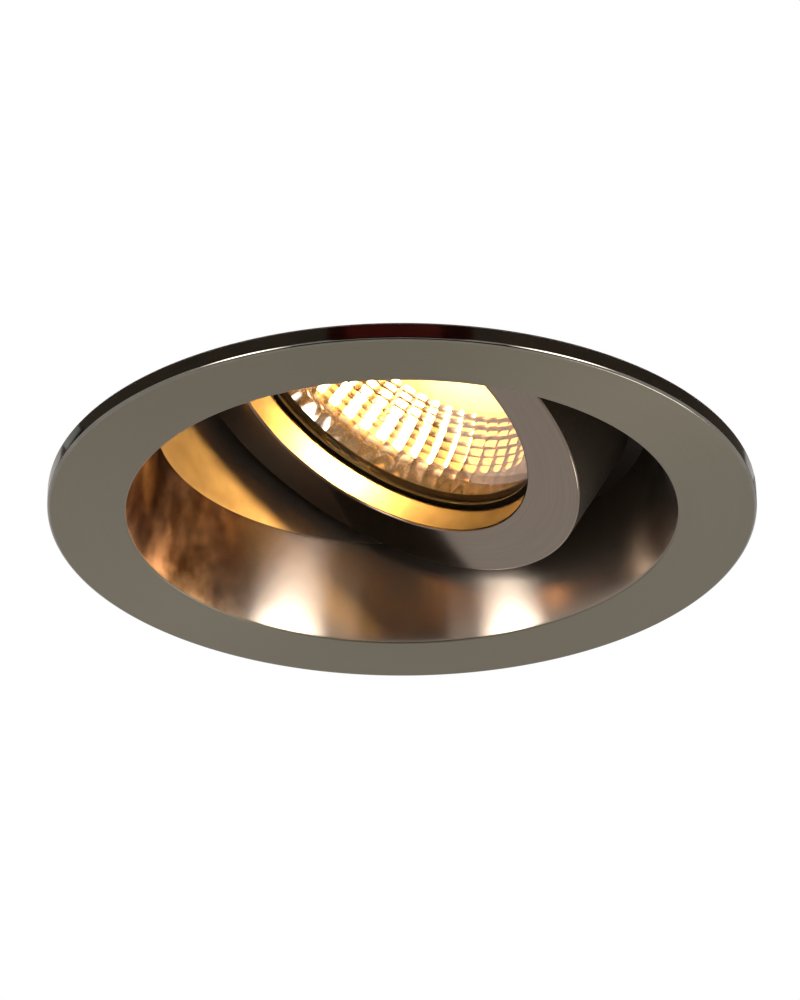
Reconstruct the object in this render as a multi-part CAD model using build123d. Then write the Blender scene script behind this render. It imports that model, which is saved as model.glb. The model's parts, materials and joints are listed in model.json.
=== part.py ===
from build123d import *
import os
from math import cos, dist, pi, radians, sin, sqrt

# Tilting ceiling downlight. Sizes are in millimetres and degrees.
# The flange's back rests on the ceiling's underside at z = 0, and +Z points up into the ceiling.
# The head tilts about Y. Its own frame has its origin on that axis and +Z from the lamp's front to its pins.

# Fits, and the slack within which two lengths count as equal
same = 1e-4
seat_gap = 0.05
running_gap = 0.05
bearing_gap = 0.1
swing_gap = 1.05

# Lamp
lamp_radius = 25.0
bezel_length = 3.5
bezel_wall = 0.95
bezel_lip = 0.4
bezel_lip_width = 2.2
bezel_edge_round = 0.45
lens_thickness = 0.8
reflector_wall = 0.6
reflector_rim = 0.8
reflector_rim_width = 1.9
reflector_depth = 11.4
reflector_throat = 16.5
emitter_radius = 4.5
emitter_thickness = 3.4
emitter_round = 3.0
led_board_radius = 18.0
led_board_thickness = 1.6
housing_wall = 1.0
housing_straight = 6.5
housing_taper = 28.0
housing_end_radius = 15.0
vent_count = 16
vent_width = 2.4
vent_length = 12.0
cap_radius = 12.0
cap_shoulder = 3.0
cap_length = 12.0
cap_wall = 1.6
cap_taper = 6.0
pin_spacing = 10.0
lamp_pin_neck_radius = 1.5
lamp_pin_head_radius = 2.5
lamp_pin_head_length = 3.0
lamp_pin_head_round = 0.8
lamp_pin_root = 3.2
driver_thickness = 1.6
driver_part_radius = 3.0
driver_margin = 1.0

# Lampholder
holder_radius = 13.5
holder_face_thickness = 2.6
holder_height = 15.0
holder_wall = 1.8
holder_boss_radius = 2.6
holder_boss_sink = 0.4
keyhole_twist = 25.0
keyhole_clearance = 0.3
contact_sheet = 0.6
contact_width = 5.0
contact_foot = 1.6
cable_hole_radius = 1.6
cable_hole_spacing = 8.0
holder_screw_radius = 1.2
holder_screw_head_radius = 1.9
holder_screw_head_height = 1.6
holder_screw_slot = 0.6

# Tilting ring
lamp_clearance = 0.25
lip_overlap = 1.34
lip_depth = 4.2
ring_wall = 2.0
ring_channel = 2.4
ring_depth = 15.2
ring_front_plate = 2.6
ring_edge_round = 0.4
opening_edge_break = 0.3
circlip_wire_radius = 0.8
circlip_gap_angle = 36.0
rest_tilt = 30.0

# Pivots
pivot_height = 20.5
pivot_screw_radius = 1.5
pivot_screw_depth = 4.6
pivot_head_radius = 2.75
pivot_head_height = 1.7
pivot_head_round = 0.85
pivot_recess_length = 3.3
pivot_recess_width = 0.7
pivot_recess_depth = 0.9
wave_washer_radius = 2.9
wave_washer_thickness = 0.5
friction_washer_radius = 4.2
boss_radius = 4.0
boss_flat = 0.45

# Trim
cone_flare = 3.84
cone_height = 13.9
flange_width = 10.56
flange_thickness = 2.5
flange_face_round = 0.4
flange_back_round = 0.3
seat_width = 4.5
collar_height = 3.0
collar_wall = 1.2
skirt_wall = 2.0
skirt_above_pivot = 9.2
skirt_edge_break = 0.4
flat_ledge = 0.3
flat_margin = 0.5

# Spring clips
bracket_sheet = 1.0
bracket_top_margin = 2.0
bracket_corner = 1.5
ear_radius = 2.4
ear_gap = 0.3
clip_pin_rise = 3.8
clip_pin_radius = 1.1
clip_pin_head_radius = 1.8
clip_pin_head = 0.6
clip_wire = 0.9
coil_radius = 2.2
coil_pitch = 1.45
coil_turns = 4
coil_side_gap = 0.9
leg_gap = 0.1
fixed_leg = 5.5
moving_leg = 12.0
arm_sheet = 0.8
arm_length = 25.0
arm_tip_half_width = 3.2
arm_droop = 20.0
cheek_radius = 2.2
pad_length = 7.0
pad_wall = 0.6
pad_round = 0.4
rivet_radius = 1.2
rivet_head_radius = 1.8
rivet_head_height = 0.8
rivet_head_round = 0.5
rivet_pitch = 4.5
rivet_inset = 2.6

# Tilting ring, worked out from the lamp outwards
lamp_bore = lamp_radius + lamp_clearance
opening_radius = lamp_radius - lip_overlap
channel_inner = lamp_bore + ring_wall
channel_outer = channel_inner + ring_channel
ring_radius = channel_outer + ring_wall
half_depth = ring_depth / 2
lip_back = -half_depth + lip_depth
boss_face = ring_radius - boss_flat

# Trim, worked out from the ring's swing
bore_radius = sqrt(ring_radius**2 + half_depth**2) + swing_gap
aperture_radius = bore_radius + cone_flare
flange_radius = aperture_radius + flange_width
collar_radius = flange_radius - seat_width
skirt_radius = bore_radius + skirt_wall
face_z = -flange_thickness
cone_top = face_z + cone_height
skirt_top = pivot_height + skirt_above_pivot
flat_bottom = cone_top + flat_ledge

# Spring clips, worked out from the coil outwards
half_coil = coil_pitch * (coil_turns + (90 - arm_droop) / 360) / 2
cheek_inner = half_coil + clip_wire / 2 + coil_side_gap
cheek_outer = cheek_inner + arm_sheet
ear_inner = cheek_outer + ear_gap
ear_outer = ear_inner + bracket_sheet
flat_distance = sqrt(skirt_radius**2 - (ear_outer + flat_margin) ** 2)
plate_face = flat_distance + bracket_sheet
clip_pin_x = plate_face + leg_gap + clip_wire / 2 + coil_radius
bracket_bottom = flat_bottom + bearing_gap
bracket_top = skirt_top - bracket_top_margin
clip_pin_z = bracket_bottom + clip_pin_rise
tongue_top = -(coil_radius + clip_wire / 2 + leg_gap)
tongue_bottom = tongue_top - arm_sheet
rivet_heights = [bracket_top - rivet_inset, bracket_top - rivet_inset - rivet_pitch]

# Lamp, along the head's own Z axis
lamp_front = lip_back + seat_gap
bezel_back = lamp_front + bezel_length
bezel_bore = lamp_radius - bezel_wall
bezel_opening = lamp_radius - bezel_lip_width
lens_front = lamp_front + bezel_lip
lens_back = lens_front + lens_thickness
inner_radius = bezel_bore - seat_gap
reflector_front = lens_back + seat_gap
reflector_mouth = inner_radius - reflector_rim_width
reflector_back = reflector_front + reflector_depth
housing_front = reflector_front + reflector_rim
housing_radius = inner_radius - bearing_gap
taper_start = housing_front + housing_straight
taper_end = taper_start + housing_taper
housing_end = taper_end + housing_wall
led_board_front = reflector_back + seat_gap
led_board_back = led_board_front + led_board_thickness
cap_neck = housing_end_radius - cap_shoulder
cap_bore = cap_neck - seat_gap - cap_wall
cap_front = housing_end + seat_gap
cap_end = cap_front + cap_length
holder_front = cap_end + bearing_gap
holder_face_back = holder_front + holder_face_thickness
lamp_pin_head_front = holder_face_back + bearing_gap
lamp_pin_end = lamp_pin_head_front + lamp_pin_head_length
holder_top = holder_face_back + holder_height
holder_inner = holder_radius - holder_wall
holder_boss_place = holder_inner + holder_boss_sink - holder_boss_radius
circlip_z = bezel_back + seat_gap + circlip_wire_radius


def turned(*corners):
    """Solid of revolution about Z through (radius, height) corners."""
    outline = Polyline(*[(radius, 0, height) for radius, height in corners], close=True)
    return revolve(make_face(outline), axis=Axis.Z)


def tube(outer, inner, low, high):
    """Ring about Z between two heights."""
    return turned((inner, low), (outer, low), (outer, high), (inner, high))


def rod(radius, low, high):
    """Round bar about Z between two heights."""
    return Pos(0, 0, low) * Cylinder(radius, high - low, align=(Align.CENTER, Align.CENTER, Align.MIN))


def block(low, high):
    """Box between two opposite corners."""
    sides = [b - a for a, b in zip(low, high)]
    return Pos(*low) * Box(*sides, align=(Align.MIN, Align.MIN, Align.MIN))


def along_y(shape):
    """Turns what was made about Z so that its Z points along +Y."""
    return Rot(-90, 0, 0) * shape


def along_x(shape):
    """Turns what was made about Z so that its Z points along +X."""
    return Rot(0, 90, 0) * shape


def both_ways(shape):
    """The shape and its copy half a turn round Z."""
    return [shape, Rot(0, 0, 180) * shape]


def on_head(shape):
    """Puts a piece made in the head's own frame at the head's tilted rest."""
    return Pos(0, 0, pivot_height) * Rot(0, rest_tilt, 0) * shape


def rim_edges(shape, radius, height):
    """Circular edges of one radius at one height."""
    circles = shape.edges().filter_by(GeomType.CIRCLE)
    return [e for e in circles if abs(e.radius - radius) < same and abs(e.center().Z - height) < same]


def cone_radius(height):
    """Inner radius of the polished cone at a height."""
    return aperture_radius - cone_flare * (height - face_z) / cone_height


# Trim
def make_trim_ring():
    body = turned(
        (aperture_radius, face_z),
        (flange_radius, face_z),
        (flange_radius, 0),
        (collar_radius, 0),
        (collar_radius, collar_height),
        (collar_radius - collar_wall, collar_height),
        (collar_radius - collar_wall, 0),
        (cone_radius(0) + skirt_wall, 0),
        (skirt_radius, cone_top),
        (skirt_radius, skirt_top),
        (bore_radius, skirt_top),
        (bore_radius, cone_top),
    )
    body = fillet(rim_edges(body, flange_radius, face_z), flange_face_round)
    body = fillet(rim_edges(body, flange_radius, 0), flange_back_round)
    body = chamfer(rim_edges(body, skirt_radius, skirt_top), skirt_edge_break)
    flat_low = (flat_distance, -skirt_radius, flat_bottom)
    flat = block(flat_low, (flat_distance + skirt_wall, skirt_radius, skirt_top))
    pivot_hole = Pos(0, 0, pivot_height) * along_y(rod(pivot_screw_radius + running_gap, 0, flange_radius))
    for angle in (0, 90, 180, 270):
        body -= Rot(0, 0, angle) * flat
    for angle in (0, 180):
        body -= Rot(0, 0, angle) * pivot_hole
        for height in rivet_heights:
            rivet_hole = Pos(0, 0, height) * along_x(rod(rivet_radius + seat_gap, 0, flange_radius))
            body -= Rot(0, 0, angle) * rivet_hole
    return body


# Tilting ring and its pivots, in the head's own frame
def make_tilt_ring():
    body = turned(
        (opening_radius, -half_depth),
        (ring_radius, -half_depth),
        (ring_radius, half_depth),
        (lamp_bore, half_depth),
        (lamp_bore, lip_back),
        (opening_radius, lip_back),
    )
    body = fillet(rim_edges(body, ring_radius, -half_depth), ring_edge_round)
    body = chamfer(rim_edges(body, opening_radius, -half_depth), opening_edge_break)
    plate_back = -half_depth + ring_front_plate
    channel = tube(channel_outer, channel_inner, plate_back, half_depth)
    boss = along_y(rod(boss_radius, lamp_bore, ring_radius))
    boss += block((-boss_radius, lamp_bore, plate_back), (boss_radius, ring_radius, 0))
    spot_face = along_y(rod(friction_washer_radius + bearing_gap, boss_face, ring_radius + boss_flat))
    screw_hole = along_y(rod(pivot_screw_radius + running_gap, boss_face - pivot_screw_depth, ring_radius))
    for side in both_ways(boss):
        channel -= side
    body -= channel
    for side in both_ways(spot_face) + both_ways(screw_hole):
        body -= side
    groove_radius = lamp_bore + circlip_wire_radius + bearing_gap
    groove_low = circlip_z - circlip_wire_radius - seat_gap
    groove_high = circlip_z + circlip_wire_radius + seat_gap
    return body - tube(groove_radius, opening_radius, groove_low, groove_high)


def make_friction_washers():
    bearing_face = sqrt(bore_radius**2 - friction_washer_radius**2) - bearing_gap
    washer = tube(friction_washer_radius, pivot_screw_radius + bearing_gap, boss_face, bearing_face)
    return both_ways(along_y(washer))


def make_wave_washers():
    low = flat_distance + bearing_gap
    washer = tube(wave_washer_radius, pivot_screw_radius + bearing_gap, low, low + wave_washer_thickness)
    return both_ways(along_y(washer))


def make_pivot_screws():
    head_low = flat_distance + bearing_gap + wave_washer_thickness
    head_high = head_low + pivot_head_height
    tip = boss_face - pivot_screw_depth + bearing_gap
    screw = rod(pivot_screw_radius, tip, head_low) + rod(pivot_head_radius, head_low, head_high)
    screw = fillet(rim_edges(screw, pivot_head_radius, head_high), pivot_head_round)
    half_slot = pivot_recess_width / 2
    reach = pivot_recess_length / 2
    slot = block((-reach, -half_slot, head_high - pivot_recess_depth), (reach, half_slot, head_high))
    screw = screw - slot - Rot(0, 0, 90) * slot
    return both_ways(along_y(screw))


def make_lamp_circlip():
    wire = Pos(lamp_bore, 0, circlip_z) * Rot(90, 0, 0) * Circle(circlip_wire_radius)
    ring = revolve(wire, axis=Axis.Z, revolution_arc=360 - circlip_gap_angle)
    return Rot(0, 0, circlip_gap_angle / 2) * ring


# Lamp, in the head's own frame
def make_lamp_bezel():
    body = turned(
        (bezel_opening, lamp_front),
        (lamp_radius, lamp_front),
        (lamp_radius, bezel_back),
        (bezel_bore, bezel_back),
        (bezel_bore, lens_front),
        (bezel_opening, lens_front),
    )
    return fillet(rim_edges(body, lamp_radius, lamp_front), bezel_edge_round)


def bowl_height(radius):
    """Height of the reflector's elliptical face at a radius."""
    reach = reflector_depth / sqrt(1 - (reflector_throat / reflector_mouth) ** 2)
    return reflector_front + reach * sqrt(1 - (radius / reflector_mouth) ** 2)


def bowl_arc(wider):
    """Arc through mouth, middle and throat of the bowl, with its radii made wider."""
    middle = (reflector_mouth + reflector_throat) / 2
    radii = (reflector_mouth, middle, reflector_throat)
    return ThreePointArc(*[(radius + wider, 0, bowl_height(radius)) for radius in radii])


def make_lamp_reflector():
    inside = bowl_arc(0)
    outside = bowl_arc(reflector_wall)
    mouth = Line(inside @ 0, outside @ 0)
    throat = Line(inside @ 1, outside @ 1)
    bowl = revolve(make_face([inside, throat, outside, mouth]), axis=Axis.Z)
    rim_inner = reflector_mouth + reflector_wall / 4
    return bowl + tube(inner_radius, rim_inner, reflector_front, housing_front)


def make_led_board():
    return rod(led_board_radius, led_board_front, led_board_back)


def make_led_emitter():
    top = led_board_front - emitter_thickness
    body = rod(emitter_radius, top, led_board_front)
    return fillet(rim_edges(body, emitter_radius, top), emitter_round)


def make_lamp_housing():
    body = turned(
        (housing_radius, housing_front),
        (housing_radius, taper_start),
        (housing_end_radius, taper_end),
        (housing_end_radius, housing_end),
        (cap_neck, housing_end),
        (cap_neck, taper_end),
        (housing_end_radius - housing_wall, taper_end),
        (housing_radius - housing_wall, taper_start),
        (housing_radius - housing_wall, housing_front),
    )
    vent_low = (taper_start + taper_end - vent_length) / 2
    vent = block((0, -vent_width / 2, vent_low), (lamp_radius, vent_width / 2, vent_low + vent_length))
    for turn in range(vent_count):
        body -= Rot(0, 0, 360 * turn / vent_count) * vent
    return body


def make_lamp_cap():
    body = turned(
        (cap_bore, taper_end),
        (cap_neck - seat_gap, taper_end),
        (cap_neck - seat_gap, cap_front),
        (housing_end_radius, cap_front),
        (cap_radius, cap_front + cap_taper),
        (cap_radius, cap_end),
        (0, cap_end),
        (0, cap_end - cap_wall),
        (cap_bore, cap_end - cap_wall),
    )
    hole = rod(lamp_pin_neck_radius + seat_gap, taper_end, cap_end)
    for side in (-1, 1):
        body -= Pos(side * pin_spacing / 2, 0, 0) * hole
    return body


def make_lamp_pins():
    pin = rod(lamp_pin_neck_radius, cap_end - lamp_pin_root, lamp_pin_head_front)
    pin += rod(lamp_pin_head_radius, lamp_pin_head_front, lamp_pin_end)
    pin = fillet(rim_edges(pin, lamp_pin_head_radius, lamp_pin_end), lamp_pin_head_round)
    return both_ways(Pos(pin_spacing / 2, 0, 0) * pin)


def make_driver_board():
    half_width = cap_bore - driver_margin
    low = led_board_back
    high = cap_end - lamp_pin_root - driver_margin
    middle = (low + high) / 2
    board = block((-half_width, 0, low), (half_width, driver_thickness, high))
    capacitor_place = Pos(0, driver_thickness + driver_part_radius - seat_gap, middle)
    capacitor = capacitor_place * rod(driver_part_radius, 0, half_width)
    coil = block((-half_width / 2, -driver_part_radius, middle - half_width), (half_width / 2, 0, middle))
    return board + capacitor + coil


# Lampholder, in the head's own frame
def make_lampholder_face():
    plate = rod(holder_radius, holder_front, holder_face_back)
    slot_path = CenterArc((0, 0), pin_spacing / 2, -keyhole_twist, keyhole_twist)
    slot = SlotArc(slot_path, 2 * (lamp_pin_neck_radius + keyhole_clearance))
    entry_place = Rot(0, 0, -keyhole_twist) * Pos(pin_spacing / 2, 0)
    entry = entry_place * Circle(lamp_pin_head_radius + keyhole_clearance)
    keyhole = Pos(0, 0, holder_front) * extrude(slot + entry, holder_face_thickness)
    screw_hole = rod(holder_screw_radius + seat_gap, holder_front, holder_face_back)
    for cut in both_ways(keyhole) + both_ways(Pos(0, holder_boss_place, 0) * screw_hole):
        plate -= cut
    return plate


def make_lampholder_body():
    cup = rod(holder_radius, holder_face_back, holder_top)
    cup = fillet(rim_edges(cup, holder_radius, holder_top), holder_wall)
    cavity = rod(holder_inner, holder_face_back, holder_top - holder_wall)
    boss = Pos(0, holder_boss_place, 0) * rod(holder_boss_radius, holder_face_back, holder_top)
    for side in both_ways(boss):
        cavity -= side
    cup -= cavity
    screw_hole = rod(holder_screw_radius + seat_gap, holder_face_back, holder_top)
    head_seat = holder_top - holder_screw_head_height
    screw_hole += rod(holder_screw_head_radius + bearing_gap, head_seat, holder_top)
    cable_hole = Pos(cable_hole_spacing / 2, 0, 0) * rod(cable_hole_radius, holder_face_back, holder_top)
    for cut in both_ways(Pos(0, holder_boss_place, 0) * screw_hole) + both_ways(cable_hole):
        cup -= cut
    return cup


def make_lampholder_contacts():
    inner = pin_spacing / 2 + lamp_pin_head_radius + bearing_gap
    outer = inner + contact_sheet
    half = contact_width / 2
    top = holder_top - holder_wall
    blade = block((inner, -half, holder_face_back), (outer, half, top))
    blade += block((inner, -half, top - contact_sheet), (outer + contact_foot, half, top))
    return both_ways(blade)


def make_lampholder_screws():
    seat = holder_top - holder_screw_head_height
    screw = rod(holder_screw_radius, holder_front, seat)
    screw += rod(holder_screw_head_radius, seat, holder_top)
    half_slot = holder_screw_slot / 2
    slot_low = (-holder_radius, -half_slot, holder_top - holder_screw_slot)
    slot = block(slot_low, (holder_radius, half_slot, holder_top))
    return both_ways(Pos(0, holder_boss_place, 0) * (screw - slot))


# Spring clip on the +X side
def make_clip_bracket():
    plate = block((flat_distance, -ear_outer, bracket_bottom), (plate_face, ear_outer, bracket_top))
    corners = [e for e in plate.edges().filter_by(Axis.X) if abs(e.center().Z - bracket_top) < same]
    plate = fillet(corners, bracket_corner)
    ear = Pos(clip_pin_x, 0, clip_pin_z) * along_y(rod(ear_radius, ear_inner, ear_outer))
    ear += block(
        (flat_distance, ear_inner, clip_pin_z - ear_radius), (clip_pin_x, ear_outer, clip_pin_z + ear_radius)
    )
    plate = plate + ear + mirror(ear, about=Plane.XZ)
    plate -= Pos(clip_pin_x, 0, clip_pin_z) * along_y(rod(clip_pin_radius + seat_gap, -ear_outer, ear_outer))
    for height in rivet_heights:
        plate -= Pos(0, 0, height) * along_x(rod(rivet_radius + seat_gap, 0, flange_radius))
    return plate


def make_rivets():
    shank = along_x(rod(rivet_radius, bore_radius - rivet_radius, plate_face))
    shank -= rod(bore_radius, -rivet_pitch, rivet_pitch)
    head = rod(rivet_head_radius, plate_face, plate_face + rivet_head_height)
    head = fillet(rim_edges(head, rivet_head_radius, plate_face + rivet_head_height), rivet_head_round)
    rivet = shank + along_x(head)
    return [side for height in rivet_heights for side in both_ways(Pos(0, 0, height) * rivet)]


def make_clip_pin():
    head_low = ear_outer + seat_gap
    head_high = head_low + clip_pin_head
    pin = rod(clip_pin_radius, -head_high, head_high)
    pin += rod(clip_pin_head_radius, head_low, head_high) + rod(clip_pin_head_radius, -head_high, -head_low)
    return Pos(clip_pin_x, 0, clip_pin_z) * along_y(pin)


def droop(shape):
    """Swings what was made with its arm level about the pin down to its stop, and puts it on the pin."""
    return Pos(clip_pin_x, 0, clip_pin_z) * Rot(0, arm_droop, 0) * shape


def make_tongue(gap):
    """Flat tongue of the arm, level under the pin, grown by a gap on every side."""
    root = cheek_outer + gap
    tip = arm_tip_half_width + gap
    end = arm_length + gap
    start = flat_distance - clip_pin_x
    side = [(start, root), (cheek_radius, root), (end, tip)]
    other_side = [(along, -across) for along, across in reversed(side)]
    outline = make_face(Polyline(*side, *other_side, close=True))
    return Pos(0, 0, tongue_bottom - gap) * extrude(outline, arm_sheet + 2 * gap)


def make_clip_arm():
    cheek = along_y(rod(cheek_radius, cheek_inner, cheek_outer))
    cheek += block((-cheek_radius, cheek_inner, tongue_bottom), (cheek_radius, cheek_outer, 0))
    body = make_tongue(0) + cheek + mirror(cheek, about=Plane.XZ)
    body -= along_y(rod(clip_pin_radius + running_gap, -ear_outer, ear_outer))
    stop = block((0, -ear_outer, 0), (plate_face + seat_gap, ear_outer, skirt_top))
    return droop(body) - stop


def make_clip_pad():
    wide = arm_tip_half_width + pad_wall
    start = arm_length + pad_wall - pad_length
    low = (start, -wide, tongue_bottom - pad_wall)
    high = (arm_length + pad_wall, wide, tongue_top + pad_wall)
    body = block(low, high)
    body = fillet(body.edges(), pad_round)
    return droop(body - make_tongue(seat_gap))


def biarc(start, start_way, end, end_way):
    """Two arcs in line with each other, from start to end, that leave and arrive along the given ways."""
    span = end - start
    both = start_way + end_way
    turn = 1 - start_way.dot(end_way)
    reach = (sqrt(span.dot(both) ** 2 + 2 * turn * span.dot(span)) - span.dot(both)) / (2 * turn)
    first_corner = start + start_way * reach
    second_corner = end - end_way * reach
    joint = (first_corner + second_corner) * 0.5
    middle_way = (second_corner - first_corner).normalized()
    return [TangentArc(start, joint, tangent=start_way), TangentArc(joint, end, tangent=middle_way)]


def coil_point(angle, first, last):
    """Centre of the wire at an angle round the pin, with the coil centred between its two end angles."""
    share = (angle - first) / (last - first)
    across = coil_radius * cos(radians(angle))
    up = coil_radius * sin(radians(angle))
    return Vector(clip_pin_x + across, half_coil * (2 * share - 1), clip_pin_z + up)


def coil_way(angle, climb):
    """Direction of the wire at an angle round the pin."""
    return Vector(-sin(radians(angle)), climb, cos(radians(angle))).normalized()


def make_clip_spring():
    first = 180
    last = 270 - arm_droop + 360 * coil_turns
    angles = list(range(first, int(last), 90)) + [last]
    climb = coil_pitch / (2 * pi * coil_radius)
    points = [coil_point(angle, first, last) for angle in angles]
    ways = [coil_way(angle, 0 if angle in (first, last) else climb) for angle in angles]
    pieces = [Line(points[0] - ways[0] * fixed_leg, points[0])]
    for i in range(len(angles) - 1):
        pieces += biarc(points[i], ways[i], points[i + 1], ways[i + 1])
    pieces.append(Line(points[-1], points[-1] + ways[-1] * moving_leg))
    path = Wire(pieces)
    report_wire_gap(path)
    section = Plane(path @ 0, z_dir=path % 0) * Circle(clip_wire / 2)
    return sweep(section, path=path)


def report_wire_gap(path):
    """Prints the least gap between stretches of the wire that lie at least half a turn apart along it."""
    step = clip_wire / 4
    count = int(path.length / step)
    points = [tuple(path.position_at(i / count)) for i in range(count + 1)]
    apart = int(pi * coil_radius / step)
    gaps = [dist(a, b) for i, a in enumerate(points) for b in points[i + apart:]]
    print(f"clip spring: least gap of the wire to itself {min(gaps) - clip_wire:.2f} mm")


head_pieces = {
    "tilt_ring": make_tilt_ring(),
    "pivot_screws": make_pivot_screws(),
    "wave_washers": make_wave_washers(),
    "friction_washers": make_friction_washers(),
    "lamp_circlip": make_lamp_circlip(),
    "lamp_bezel": make_lamp_bezel(),
    "lamp_lens": rod(inner_radius, lens_front, lens_back),
    "lamp_reflector": make_lamp_reflector(),
    "led_board": make_led_board(),
    "led_emitter": make_led_emitter(),
    "lamp_housing": make_lamp_housing(),
    "driver_board": make_driver_board(),
    "lamp_cap": make_lamp_cap(),
    "lamp_pins": make_lamp_pins(),
    "lampholder_face": make_lampholder_face(),
    "lampholder_body": make_lampholder_body(),
    "lampholder_contacts": make_lampholder_contacts(),
    "lampholder_screws": make_lampholder_screws(),
}
clip_pieces = {
    "clip_bracket": make_clip_bracket(),
    "clip_pin": make_clip_pin(),
    "clip_spring": make_clip_spring(),
    "clip_arm": make_clip_arm(),
    "clip_pad": make_clip_pad(),
}


def group(shape):
    """One shape for a piece that may be several separate solids."""
    return Compound(shape) if isinstance(shape, list) else shape


nodes = {"trim_ring": make_trim_ring(), "bracket_rivets": group(make_rivets())}
for name, shape in head_pieces.items():
    nodes[name] = on_head(group(shape))
for name, shape in clip_pieces.items():
    right, left = both_ways(shape)
    nodes[name + "_right"] = right
    nodes[name + "_left"] = left

os.makedirs("parts", exist_ok=True)
for name, shape in nodes.items():
    export_step(shape, f"parts/{name}.step")
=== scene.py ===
import bpy
import json
from collections import Counter
from math import atan2, cos, exp, hypot, pi, radians, sin, sqrt, tan
from mathutils import Matrix, Vector


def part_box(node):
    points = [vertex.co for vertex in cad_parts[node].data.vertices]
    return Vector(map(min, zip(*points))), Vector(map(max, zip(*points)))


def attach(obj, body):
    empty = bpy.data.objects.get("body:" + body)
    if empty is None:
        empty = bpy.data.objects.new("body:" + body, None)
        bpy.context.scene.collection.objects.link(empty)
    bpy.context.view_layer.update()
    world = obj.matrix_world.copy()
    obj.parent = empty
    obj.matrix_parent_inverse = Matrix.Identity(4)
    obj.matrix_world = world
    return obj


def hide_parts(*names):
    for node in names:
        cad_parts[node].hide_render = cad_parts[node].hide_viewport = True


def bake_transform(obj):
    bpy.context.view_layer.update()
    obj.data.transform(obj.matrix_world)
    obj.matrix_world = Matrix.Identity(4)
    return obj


# Tilting ceiling downlight, dressed over its solids. Sizes are in metres, angles in degrees.
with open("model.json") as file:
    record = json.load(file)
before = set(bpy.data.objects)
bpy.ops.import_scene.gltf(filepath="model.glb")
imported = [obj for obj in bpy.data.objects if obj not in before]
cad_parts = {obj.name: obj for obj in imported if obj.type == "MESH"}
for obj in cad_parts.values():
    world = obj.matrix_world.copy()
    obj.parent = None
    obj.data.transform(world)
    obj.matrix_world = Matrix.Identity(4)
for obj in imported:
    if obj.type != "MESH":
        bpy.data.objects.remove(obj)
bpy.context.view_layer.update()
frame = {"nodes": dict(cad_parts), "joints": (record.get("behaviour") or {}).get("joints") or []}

mm = 0.001
touch = 0.005 * mm

# Places of the joints, from the frame, and the angles of the head and of the clip arms at rest
joints = {joint["name"]: joint for joint in frame["joints"]}
pivot = Vector(joints["head_tilt"]["pos_m"])
clip_pin = Vector(joints["clip_right_swing"]["pos_m"])
rest_tilt = 30
arm_droop = 20
head_place = Matrix.Translation(pivot) @ Matrix.Rotation(radians(rest_tilt), 4, "Y")

# Photograph's view
view_azimuth = -11.4
view_elevation = -28.55
view_distance = 661.9 * mm
view_aim_right = -0.271 * mm
view_aim_up = 2.514 * mm
view_lens = 175.9
view_near_limit = 10 * mm

# Mesh fineness, and the angles up to which edges are shaded smoothly
turn_steps = 288
rim_steps = 4
bar_sides = 48
wire_sides = 14
wire_steps = 90
turned_shading = 30
facet_shading = 22
wire_shading = 40

# Cone: how far its wall stands inside a straight one, at mid height and behind the flare at its mouth
cone_sag = 0.08 * mm
cone_flare = 0.2 * mm
flare_share = 0.1
cone_steps = 24

# Trim ring: rounds of its rims, holes, and where one finish ends and the next begins
flange_front_round = 0.4 * mm
flange_back_round = 0.3 * mm
mouth_round = 0.22 * mm
cone_top_round = 0.25 * mm
collar_round = 0.2 * mm
skirt_outer_round = 0.4 * mm
skirt_inner_round = 0.2 * mm
pivot_hole_radius = 1.55 * mm
rivet_hole_radius = 1.25 * mm
rivet_head_radius = 1.8 * mm
polish_start = 0.1 * mm
rim_band = 0.5 * mm
facing_down = -0.9

# Tilting ring: walls, rounds of its rims, pivot bosses, and where its face ends
ring_wall = 2.0 * mm
ring_plate = 2.6 * mm
ring_front_round = 0.35 * mm
ring_opening_round = 0.3 * mm
ring_back_round = 0.3 * mm
lamp_bore_round = 0.2 * mm
boss_radius = 4.0 * mm
boss_face_radius = 4.3 * mm
boss_face_depth = 0.45 * mm
boss_hole_depth = 4.368 * mm
cutter_reach = 6 * mm
ring_face_depth = 0.7 * mm
facing_back = 0.5

# Reflector: a smooth band behind its mouth, then rows of facets with a height, an arch and a lean each
reflector_wall = 0.6 * mm
band_depth = 1.8 * mm
band_step = 0.6 * mm
facet_columns = 54
facet_steps = 6
facet_side_arch = 13
facet_rows = (
    (1.45 * mm, 2, 17),
    (1.55 * mm, 4, 8.6),
    (1.25 * mm, 1.5, 10.4),
    (1.25 * mm, 1.5, 12),
    (1.25 * mm, 1.5, 13.6),
    (1.05 * mm, 4, 15),
    (0.8 * mm, 5, 16.2),
    (1.0 * mm, 6, 17.4),
)

# Clip springs, and how far around a wire's end its open edge reaches
clip_wire = 0.9 * mm
coil_radius = 2.2 * mm
coil_turns = 4
fixed_leg = 5.5 * mm
moving_leg = 12.0 * mm
tip_reach = 0.6 * clip_wire

# Where most of a noise pattern's values lie, and the sockets of a Mix node that mixes colours
noise_bounds = (0.325, 0.675)
mix_share, mix_low, mix_high, mix_colour = 0, 6, 7, 2

# Painted glow of the lamp on the cone: where it begins and where it is full, across the downlight, and its
# clouds' edges
lamp_glow_begins = -15 * mm
lamp_glow_full = -24 * mm
lamp_glow_bounds = (0.36, 0.64)

# Studio: light of the white surround, floor, and ceiling board just above the flange's back
surround_light = 0.5
floor_width = 8
floor_height = -1.6
floor_cloud = 0.4
ceiling_hole_radius = 45.5 * mm
ceiling_gap = 0.1 * mm
ceiling_spread = 40
ceiling_sides = 96


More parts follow.
